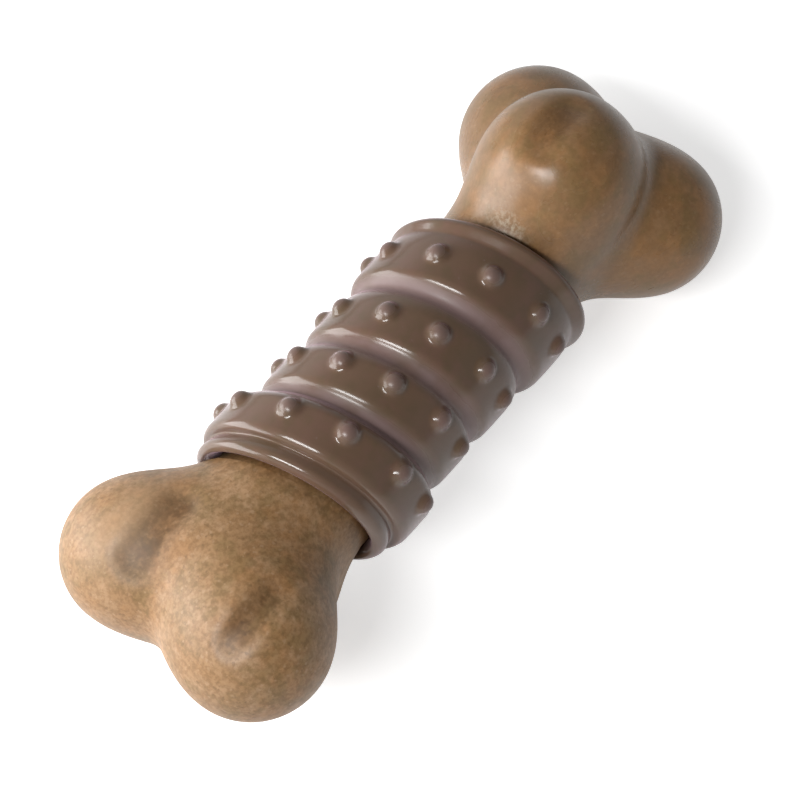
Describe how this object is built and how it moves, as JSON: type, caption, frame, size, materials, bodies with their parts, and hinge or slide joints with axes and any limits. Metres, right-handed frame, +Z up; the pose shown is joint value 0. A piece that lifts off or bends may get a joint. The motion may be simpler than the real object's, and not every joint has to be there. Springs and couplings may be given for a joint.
{
  "type": "bone-shaped dog chew toy",
  "caption": "Knuckle-ended bone chew toy: rigid composite core with a slanted-band, studded rubber sleeve round its waist.",
  "frame": {"origin": "centre of the bounding box's base, on the surface the toy lies on", "axes": "+Z up, +X along the toy from the end with two knobs on top to the end with one knob on top"},
  "size_m": [0.165, 0.0662, 0.0553],
  "materials": {
    "bone_composite": "satin moulded wood-fibre composite with fine dark and pale flecks",
    "brown_rubber": "smooth mauve-brown moulded rubber with a soft gloss"
  },
  "bodies": {
    "root": {"bone_core": "bone_composite", "rubber_sleeve": "brown_rubber"}
  },
  "joints": []
}
